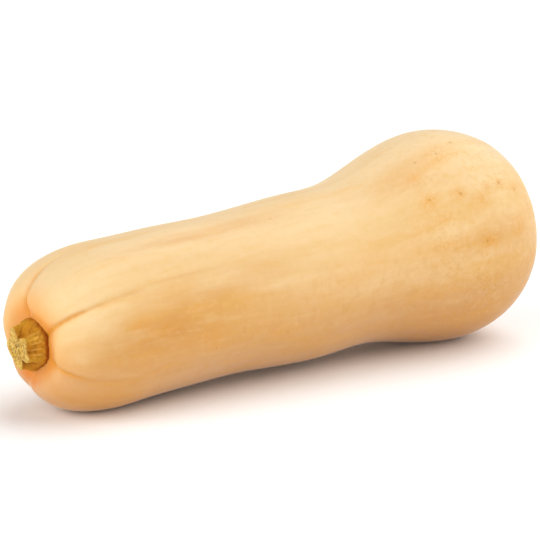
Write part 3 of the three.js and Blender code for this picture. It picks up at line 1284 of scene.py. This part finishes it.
@dataclass
class Fruit:
    """The fruit, with the sizes of what its solid and its finer skin share, and of its details."""

    form: SquashForm
    stub: StubForm
    finish: RindFinish = field(default_factory=RindFinish)
    columns_per_lobe: int = 60
    furrow_crowding: float = 0.55
    ring_stretches: tuple[tuple[float, float], ...] = (
        (0.13, 0.7 * MM),
        (0.46, 1.5 * MM),
        (0.36, 1.4 * MM),
        (0.05, 0.45 * MM),
    )
    furrow_half_width: float = 2.2 * MM
    furrow_start: tuple[float, float] = (8 * MM, 18 * MM)
    lobe_dip: float = 1.9 * MM
    lobe_half_width: float = 8 * MM
    lobe_reach: float = 38 * MM
    dimple_depth: float = 1.3 * MM
    dimple_radius: float = 11 * MM
    scar_height: float = 0.9 * MM
    scar_radius: float = 3.2 * MM
    scar_tone_radius: float = 4.32 * MM
    crease_depth: float = 0.35 * MM
    crease_half_width: float = 0.9 * MM
    swell_height: float = 0.22 * MM
    flute_height: float = 0.07 * MM
    swell_start: tuple[float, float] = (6 * MM, 30 * MM)
    line_half_width: float = 1.1 * MM
    line_start: tuple[float, float] = (6 * MM, 14 * MM)
    line_fades_from: float = 0.45
    blush_from: float = 2.5 * MM
    blush_to: Sided = Sided(10 * MM, 9 * MM, 62, 42)
    blush_share: float = 0.88
    blush_strength: Sided = Sided(1.0, -0.3, 190, 75)
    dip_blush: float = 0.15
    # Painted contact shadow: how far it reaches from the stem's foot, and how strong it is round the
    # axis.
    contact_shadow_fade: tuple[float, float] = (0.1 * MM, 0.7 * MM)
    contact_shadow_strength: Sided = Sided(0.2, 0.55, 0, 50)
    upness_start: tuple[float, float] = (5 * MM, 30 * MM)
    long_swell: Ripple = Ripple(seed=11, waves=10, turns=(1, 4), lengths=(60 * MM, 180 * MM))
    fine_flutes: Ripple = Ripple(seed=23, waves=14, turns=(8, 26), lengths=(150 * MM, 500 * MM))

    def _angles(self) -> Array:
        """Spreads the columns round the axis, crowded towards the furrows.

        Returns:
            Their angles in radians.
        """
        angles = []
        share = np.arange(self.columns_per_lobe) / self.columns_per_lobe
        crowded = share - self.furrow_crowding * np.sin(2.0 * math.pi * share) / (2.0 * math.pi)
        for meridian, following in zip(MERIDIANS, MERIDIANS[1:] + MERIDIANS[:1]):
            width = (following.foot - meridian.foot) % 360.0
            angles.append(np.radians(meridian.foot + width * crowded))
        return np.concatenate(angles)

    def _runs(self) -> Array:
        """Spreads the rings along the outline, closer where the shape is finer.

        Returns:
            Their distances along it.
        """
        total = self.form.total_run
        runs, start = [], 0.0
        for share, step in self.ring_stretches:
            length = share * total
            steps = math.ceil(length / step)
            runs.append(start + length * np.arange(1, steps + 1) / steps)
            start += length
        return np.concatenate(runs)[:-1]

    def _furrow_lines(self, run: Array, radius: Array, angle: Array) -> tuple[Array, Array, Array]:
        """Depth of the furrows and dips, with how much of a point lies in a furrow.

        Args:
            run: Distances along the outline.
            radius: Radii of the outline there.
            angle: Angles round the axis.

        Returns:
            The depth, the share of the narrow furrow and the share of the wide dip.
        """
        depth = np.zeros(np.broadcast(run, angle).shape)
        narrow, wide = depth.copy(), depth.copy()
        for meridian in MERIDIANS:
            drifted = smoothstep(run, 0.0, meridian.drift_run)
            middle = np.radians(meridian.foot + meridian.drift * drifted)
            across = radius * np.abs(turn_between(angle, middle))
            fade = bell(run, meridian.reach)
            dip = bell(across, self.lobe_half_width) * bell(run, self.lobe_reach)
            depth += meridian.depth * bell(across, self.furrow_half_width) * fade
            shown = 1.0 - smoothstep(run, self.line_fades_from * meridian.line, meridian.line)
            depth += self.crease_depth * bell(across, self.crease_half_width) * shown
            depth += self.lobe_dip * dip
            narrow = np.maximum(narrow, bell(across, self.line_half_width) * shown)
            wide = np.maximum(wide, dip)
        return depth * smoothstep(radius, *self.furrow_start), narrow, wide

    def _skin(self, run: Array, angle: Array) -> tuple[Array, dict[str, Array]]:
        """Points of the skin and what the finish needs to know of each.

        Args:
            run: Distances along the outline.
            angle: Angles round the axis.

        Returns:
            The points along the fruit's own axis, and the traits by name.
        """
        form = self.form
        run, angle = np.broadcast_arrays(run, angle)
        x, radius, along, outward = form.outline_at(run)
        in_stem_half = x < form.length / 2.0
        in_seat = (1.0 - smoothstep(radius, form.seat_floor_radius, form.seat_rim_radius)) * in_stem_half
        dimple = self.dimple_depth * bell(radius, self.dimple_radius)
        scar = self.scar_height * bell(radius, self.scar_radius)
        inwards = (form.seat_floor_at - x) * in_seat - (dimple - scar) * ~in_stem_half
        depth, narrow, wide = self._furrow_lines(run, radius, angle)
        swell = self.swell_height * self.long_swell.heights(run, angle)
        flutes = self.flute_height * self.fine_flutes.heights(run, angle)
        depth = depth - smoothstep(radius, *self.swell_start) * (swell + flutes)
        points = form.around_axis(x + inwards + depth * outward, radius - depth * along, angle)
        beyond_foot = radius - self.stub.foot_radius(angle)
        near_stem = 1.0 - smoothstep(beyond_foot, self.blush_from, self.blush_to.at(angle))
        against_foot = 1.0 - smoothstep(beyond_foot, *self.contact_shadow_fade)
        blush = self.blush_share * (near_stem * in_stem_half) * self.blush_strength.at(angle)
        traits = {
            "furrow": narrow * smoothstep(radius, *self.line_start),
            "blush": np.clip(blush + self.dip_blush * wide, 0.0, 1.0),
            # Painted contact shadow on the rind against the foot of the stem.
            "seat": against_foot * in_stem_half * self.contact_shadow_strength.at(angle),
        }
        for name, marks in BLOTCHES.items():
            traits[name] = sum(mark.amount(run, angle) for mark in marks)
        traits["upness"] = np.sin(angle) * smoothstep(radius, *self.upness_start)
        traits["blossom"] = bell(radius, self.scar_tone_radius) * ~in_stem_half
        traits["grain_place"] = np.stack([run, np.cos(angle), np.sin(angle)], axis=-1)
        return points, traits

    def build(self) -> bpy.types.Object:
        """Builds the skin, dresses it and puts it in the place of its solid.

        Returns:
            The piece.
        """
        lay = self.form.lay
        rings, ring_traits = self._skin(self._runs()[:, None], self._angles()[None, :])
        low, high = (np.array(corner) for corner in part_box("fruit"))
        self.form.fit_to(low, high, rings)
        first, first_traits = self._skin(np.array(0.0), np.array(0.0))
        last, last_traits = self._skin(np.array(self.form.total_run), np.array(0.0))
        skin = RingMesh("squash_fruit", lay(first), lay(rings), lay(last))
        for name, values in ring_traits.items():
            skin.add_trait(name, first_traits[name], values, last_traits[name])
        piece = skin.build()
        piece.data.materials.append(self.finish.make(self._speck_places()))
        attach(piece, "root")
        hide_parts("fruit")
        return piece

    def _speck_places(self) -> list[tuple[Place, float]]:
        """Finds where the specks lie on the finished skin.

        Returns:
            Place in the frame and radius of each.
        """
        places = []
        for speck in SPECKS:
            point, _ = self._skin(np.array(speck.run), np.array(math.radians(speck.angle)))
            places.append((tuple(self.form.lay(point).tolist()), speck.radius))
        return places


@dataclass
class Stem:
    """The dry stub of stem: five ribs, the flutes between them and a rough cut end.

    Heights are shares of the way from the foot to the cut, and tones are shares of a colour.
    """

    form: SquashForm
    stub: StubForm
    finish: CorkFinish = field(default_factory=CorkFinish)
    length: float = 8.5 * MM
    gap: float = 0.3 * MM
    foot_sink: float = 0.6 * MM
    cut_dish: float = 0.8 * MM
    side_rings: int = 90
    cut_rings: int = 44
    fibre_height: float = 0.14 * MM
    wart_height: float = 0.16 * MM
    wart_tone: float = 0.6
    wart_tone_from: tuple[float, float] = (0.8, 2.0)
    grain_height: float = 0.14 * MM
    grain_start: float = 0.3
    grain_rim_power: int = 6
    rim_power: int = 4
    edge_softness: float = 1.0 * MM
    pith_radius: float = 4.6 * MM
    pith_tones: tuple[float, float] = (0.25, 0.75)
    rib_power: int = 3
    rib_tones: tuple[float, float] = (0.35, 0.65)
    flute_power: int = 2
    flute_shade_heights: tuple[float, float] = (0.3, 0.8)
    # Painted shade in the flutes, strongest on one side.
    flute_shade: Sided = Sided(0.2, 1.1, -54, 32)
    foot_shade_heights: tuple[float, float] = (0.06, 0.26)
    # Painted shade round the foot, strongest on the side towards -Y.
    foot_shade: Sided = Sided(0.3, 0.7, 0, 55)
    ridge_angles: tuple[float, ...] = (46, 34, 23, 7, -7, 128, 141, 153, 224, 236)
    ridge_height: float = 0.26 * MM
    ridge_half_width: float = math.radians(2.6)
    ridge_middle: float = 0.52
    ridge_reach: float = 0.24
    fibre_ripple: Ripple = Ripple(seed=5, waves=16, turns=(14, 44), lengths=(14 * MM, 60 * MM))
    wart_ripple: Ripple = Ripple(seed=9, waves=26, turns=(10, 34), lengths=(2.2 * MM, 6 * MM))
    cut_ripple: Ripple = Ripple(seed=31, waves=30, turns=(3, 40), lengths=(1.2 * MM, 5 * MM))

    @property
    def foot_at(self) -> float:
        """Where the foot stands on the axis, a little way inside the rind."""
        return self.form.seat_floor_at + self.foot_sink

    @property
    def cut_at(self) -> float:
        """Where the rim of the cut end stands on the axis."""
        return self.form.seat_floor_at - self.gap - self.length

    def _ridges(self, height: Array, angle: Array) -> Array:
        """Raises a few strong fibres on the side.

        Args:
            height: Heights on the side.
            angle: Angles round the axis, in radians.

        Returns:
            Share of a raised fibre at each point.
        """
        share = np.zeros(angle.shape)
        for degrees in self.ridge_angles:
            turned = turn_between(angle, math.radians(degrees))
            share = np.maximum(share, bell(turned, self.ridge_half_width))
        return share * bell(height - self.ridge_middle, self.ridge_reach)

    def _side(self) -> tuple[Array, Array, dict[str, Array]]:
        """The side from the cut to the foot.

        Returns:
            The points, the roughness of the first ring, and the traits by name.
        """
        height = np.linspace(1.0, 0.0, self.side_rings + 1)[:, None]
        radius, angle, rib = self.stub.ring(height)
        down = (1.0 - height) * (self.foot_at - self.cut_at)
        ridges = self._ridges(height, angle)
        warts = self.wart_ripple.heights(down, angle)
        rough = self.fibre_height * self.fibre_ripple.heights(down, angle)
        rough = rough + self.wart_height * warts + self.ridge_height * ridges
        points = self.form.around_axis(self.cut_at + down, radius + rough, angle)
        rib_low, rib_more = self.rib_tones
        shaded_flute = (1.0 - rib) ** self.flute_power * smoothstep(height, *self.flute_shade_heights)
        wart_tone = self.wart_tone * smoothstep(warts, *self.wart_tone_from)
        traits = {
            "cut": 1.0 - smoothstep(down, 0.0, self.edge_softness) + 0.0 * radius,
            "rib": rib**self.rib_power * (rib_low + rib_more * height),
            # Painted shade in the flutes.
            "flute": np.clip(shaded_flute * self.flute_shade.at(angle), 0.0, 1.0),
            "raised": np.clip(ridges + wart_tone, 0.0, 1.0),
            # Painted shade round the foot.
            "foot": (1.0 - smoothstep(height, *self.foot_shade_heights)) * self.foot_shade.at(angle),
            "pith": 0.0 * radius,
            "grain_place": self._grain_place(down, angle),
        }
        return points, rough[:1], traits

    def _cut_face(self, edge_rough: Array) -> tuple[Array, dict[str, Array]]:
        """The cut end from its middle to its rim.

        Args:
            edge_rough: How far each point of the rim stands out.

        Returns:
            The points and the traits by name.
        """
        share = (np.arange(1, self.cut_rings) / self.cut_rings)[:, None]
        radius, angle, _ = self.stub.ring(np.ones_like(share))
        out = share * radius
        inside = smoothstep(share, 0.0, self.grain_start) * (1.0 - share**self.grain_rim_power)
        grain = self.cut_ripple.heights(out, angle) * inside
        x = self.cut_at + self.cut_dish * (1.0 - share**2) + self.grain_height * grain
        points = self.form.around_axis(x, out + edge_rough * share**self.rim_power, angle)
        none = np.zeros_like(radius)
        pith_low, pith_more = self.pith_tones
        traits = dict.fromkeys(("rib", "flute", "raised", "foot"), none)
        traits["cut"] = none + 1.0
        traits["pith"] = pith_low + pith_more * bell(out, self.pith_radius)
        traits["grain_place"] = self._grain_place(0.0 * share, angle)
        return points, traits

    def _grain_place(self, down: Array, angle: Array) -> Array:
        """A place along and round the stem, for clouds drawn out along it."""
        down, angle = np.broadcast_arrays(down, angle)
        return np.stack([down, np.cos(angle), np.sin(angle)], axis=-1)

    def build(self) -> bpy.types.Object:
        """Builds the stub, dresses it and puts it in the place of its solid.

        Returns:
            The piece.
        """
        form = self.form
        side, edge_rough, side_traits = self._side()
        face, face_traits = self._cut_face(edge_rough)
        first = form.around_axis(self.cut_at + self.cut_dish, 0.0, 0.0)
        last = form.around_axis(self.foot_at, 0.0, 0.0)
        rings = form.lay(np.concatenate([face, side]))
        stub = RingMesh("squash_stem", form.lay(first), rings, form.lay(last))
        for name, on_side in side_traits.items():
            on_face = face_traits[name]
            stub.add_trait(name, on_face[0, 0], np.concatenate([on_face, on_side]), on_side[-1, 0])
        piece = stub.build()
        piece.data.materials.append(self.finish.make())
        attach(piece, "root")
        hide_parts("stem")
        return piece


# ---- Camera, light and floor ----


def looking_from(azimuth: float, elevation: float) -> tuple[float, float, float]:
    """Turn of a camera or lamp that looks at the squash from some degrees round and up."""
    return math.radians(90.0 - elevation), 0.0, math.radians(azimuth)


@dataclass(frozen=True)
class SoftLamp:
    """A broad soft lamp, far away.

    Attributes:
        name: What it is for.
        azimuth: Degrees from -Y towards +X.
        elevation: Degrees above the floor.
        strength: Light that it gives to a surface that faces it.
        spread: How many degrees wide it looks from the squash.
    """

    name: str
    azimuth: float
    elevation: float
    strength: float
    spread: float

    def hang(self) -> None:
        """Adds the lamp to the scene."""
        data = bpy.data.lights.new(self.name, "SUN")
        data.energy = self.strength
        data.angle = math.radians(self.spread)
        put_in_scene(self.name, data).rotation_euler = looking_from(self.azimuth, self.elevation)


@dataclass(frozen=True)
class Studio:
    """A white floor under plain soft light, and the camera.

    Attributes:
        azimuth: Degrees by which the camera is turned from looking along +Y.
        elevation: Degrees by which it looks down.
        distance: From the camera to the point that it looks at.
        target: The point that it looks at.
        focal_pixels: Focal length in pixels of a frame of frame_pixels.
        frame_pixels: Width and height of the frame.
        sensor_width: Width of the film, in millimetres.
        sees_to: How far the camera sees.
        floor_size: Width of the floor.
        floor_finish: What the floor is made of.
        sky: Colour of the surroundings.
        sky_strength: How bright they are.
        lamps: The lamps.
    """

    azimuth: float = -38.0
    elevation: float = 13.0
    distance: float = 1.0308
    target: Place = (-2.85 * MM, 0.0, 47.4 * MM)
    focal_pixels: float = 2227.0
    frame_pixels: float = 540.0
    sensor_width: float = 36.0
    sees_to: float = 100.0
    floor_size: float = 80.0
    floor_finish: FloorFinish = FloorFinish()
    sky: tuple[float, ...] = (1.0, 1.0, 1.0, 1.0)
    sky_strength: float = 0.34
    lamps: tuple[SoftLamp, ...] = (
        SoftLamp("front_lamp", -40.0, 18.0, 0.7, 60.0),
        SoftLamp("left_lamp", -100.0, 20.0, 2.12, 60.0),
        SoftLamp("right_lamp", 78.0, 48.0, 2.7, 90.0),
    )

    def place_camera(self) -> bpy.types.Object:
        """Puts the camera in its place.

        Returns:
            The camera.
        """
        data = bpy.data.cameras.new("studio_camera")
        data.sensor_width = self.sensor_width
        data.lens = self.focal_pixels / self.frame_pixels * self.sensor_width
        data.clip_end = self.sees_to
        camera = put_in_scene("studio_camera", data)
        turn, rise = math.radians(self.azimuth), math.radians(self.elevation)
        level = math.cos(rise)
        towards = np.array([math.sin(turn) * level, -math.cos(turn) * level, math.sin(rise)])
        camera.location = np.array(self.target) + self.distance * towards
        camera.rotation_euler = looking_from(self.azimuth, self.elevation)
        bpy.context.scene.camera = camera
        return camera

    def light(self) -> None:
        """Hangs the lamps in even white surroundings."""
        for lamp in self.lamps:
            lamp.hang()
        world = bpy.data.worlds.new("white_surroundings")
        world.use_nodes = True
        backdrop = world.node_tree.nodes["Background"]
        backdrop.inputs["Color"].default_value = self.sky
        backdrop.inputs["Strength"].default_value = self.sky_strength
        bpy.context.scene.world = world
        bpy.context.scene.view_settings.view_transform = "Standard"

    def lay_floor(self) -> bpy.types.Object:
        """Lays the white floor.

        Returns:
            The floor.
        """
        half = self.floor_size / 2.0
        corners = [(-half, -half, 0.0), (half, -half, 0.0), (half, half, 0.0), (-half, half, 0.0)]
        mesh = bpy.data.meshes.new("studio_floor")
        mesh.from_pydata(corners, [], [(0, 1, 2, 3)])
        mesh.materials.append(self.floor_finish.make())
        floor = put_in_scene("studio_floor", mesh)
        return floor


def main() -> None:
    """Builds the studio and both pieces, and logs how many faces each has."""
    logging.basicConfig(level=logging.INFO, format="%(name)s: %(message)s")
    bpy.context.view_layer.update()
    studio = Studio()
    studio.place_camera()
    studio.light()
    studio.lay_floor()
    form = SquashForm()
    stub = StubForm()
    for piece in (Fruit(form, stub).build(), Stem(form, stub).build()):
        log.info("%s: %d faces", piece.name, len(piece.data.polygons))


if __name__ == "__main__":
    main()
